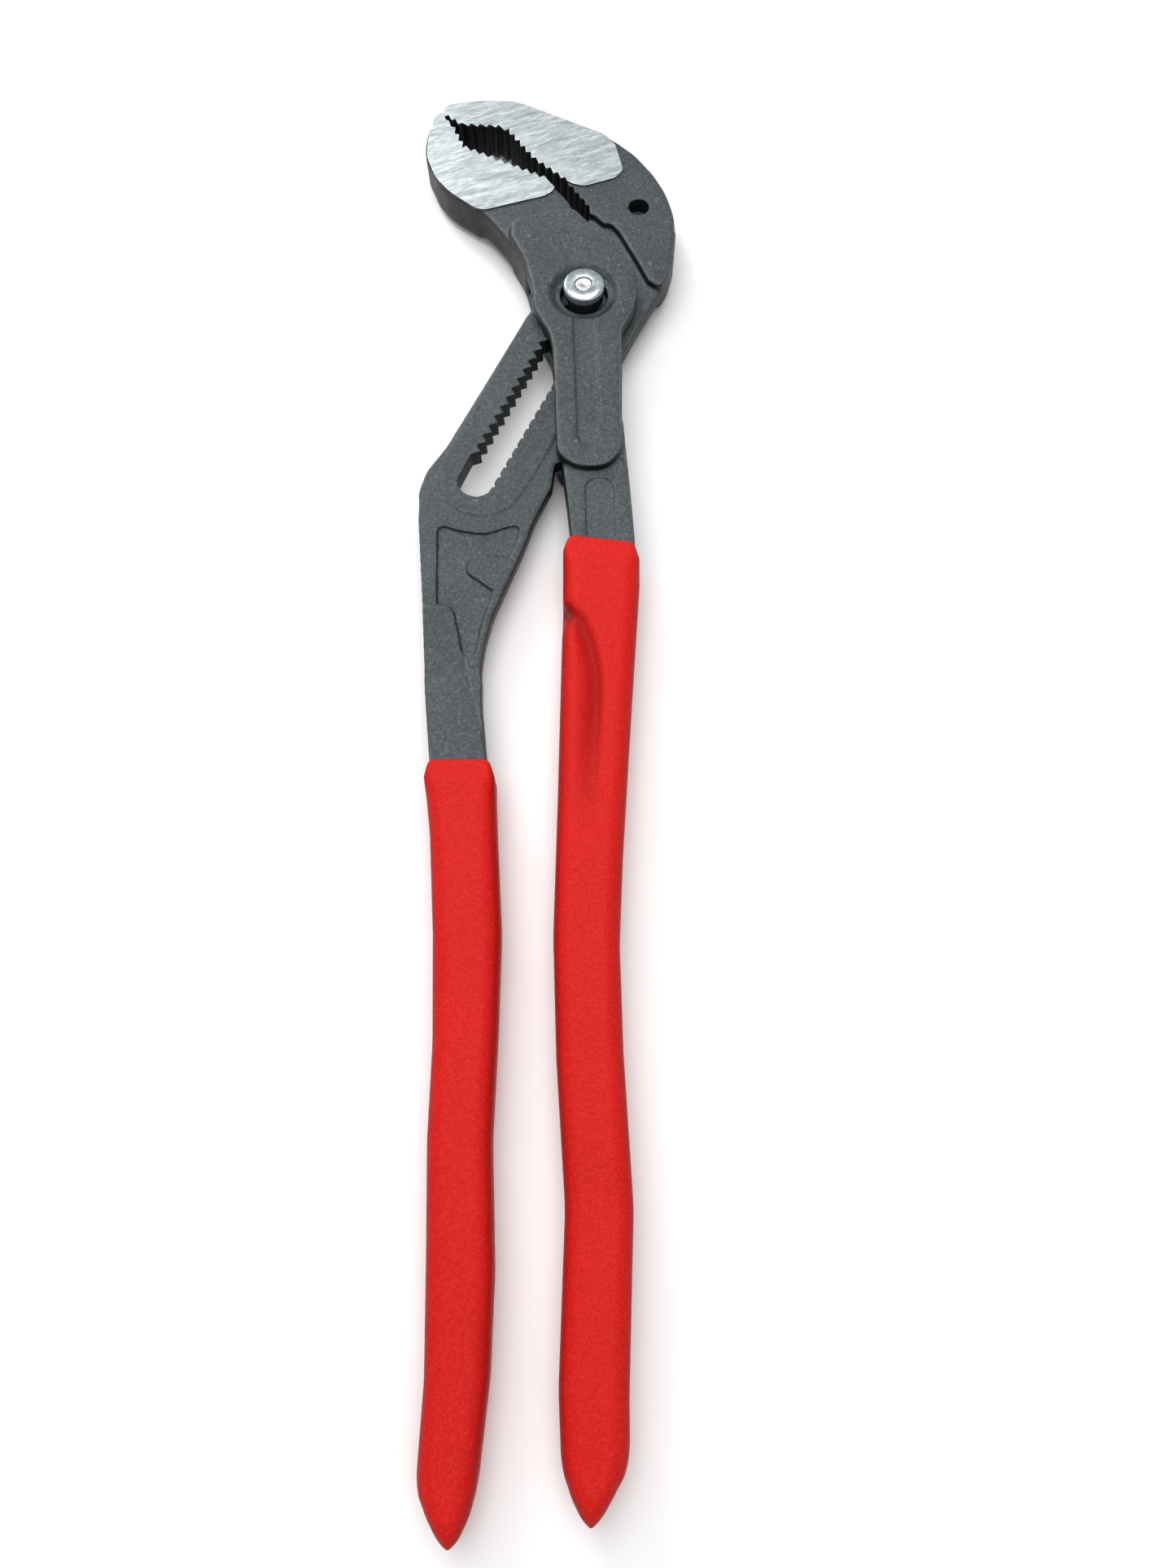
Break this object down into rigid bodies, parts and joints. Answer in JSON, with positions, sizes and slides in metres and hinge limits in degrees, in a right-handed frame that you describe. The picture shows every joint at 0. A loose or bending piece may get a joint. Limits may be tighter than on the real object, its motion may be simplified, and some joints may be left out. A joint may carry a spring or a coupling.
{
  "type": "tongue and groove pliers",
  "caption": "Large adjustable pliers with angled toothed jaws, a box joint locked by a push button in a toothed slot, and two long handles in dipped grips.",
  "frame": {"origin": "bolt axis on the back face of the box joint", "axes": "+Z along the bolt axis towards the push button, +Y towards the head, +X towards the hook side of the head"},
  "size_m": [0.1096, 0.5606, 0.026],
  "materials": {
    "forged_steel": "dark grey phosphated forging, jaws ground bright on their faces",
    "dipped_grip": "red dip-coated plastic with a fine pebbled grain",
    "dark_steel": "blackened steel",
    "button_chrome": "polished chrome plate"
  },
  "bodies": {
    "box": {"box_arm": "forged_steel", "box_arm_grip": "dipped_grip"},
    "washer": {"thrust_washer": "dark_steel", "rear_disc": "dark_steel"},
    "seat": {"spring_seat": "dark_steel", "button_spring": "dark_steel"},
    "arm": {"slide_arm": "forged_steel", "slide_arm_grip": "dipped_grip"},
    "bolt": {"hinge_bolt": "dark_steel", "push_button": "button_chrome", "button_rivet": "button_chrome"}
  },
  "joints": [
    {"name": "jaw_pivot", "type": "hinge", "parent": "box", "child": "washer", "pos_m": [0, 0, 0.011], "axis": [0, 0, 1], "range_deg": [-35, 0]},
    {"name": "slot_swing", "type": "hinge", "parent": "washer", "child": "seat", "pos_m": [0, 0, 0.011], "axis": [0, 0, 1], "range_deg": [-10.2, 0]},
    {"name": "slot_adjust", "type": "slide", "parent": "seat", "child": "arm", "axis": [0.4289, 0.9033, 0], "range_m": [0, 0.095]},
    {"name": "button_press", "type": "slide", "parent": "seat", "child": "bolt", "axis": [0, 0, -1], "range_m": [0, 0.004], "stiffness_N_per_m": 1500, "springref_m": -0.004, "deforming": ["button_spring"]}
  ],
  "couplings": [
    {"joint": "slot_swing", "follows": "slot_adjust", "rad_per_m": -1.85}
  ]
}
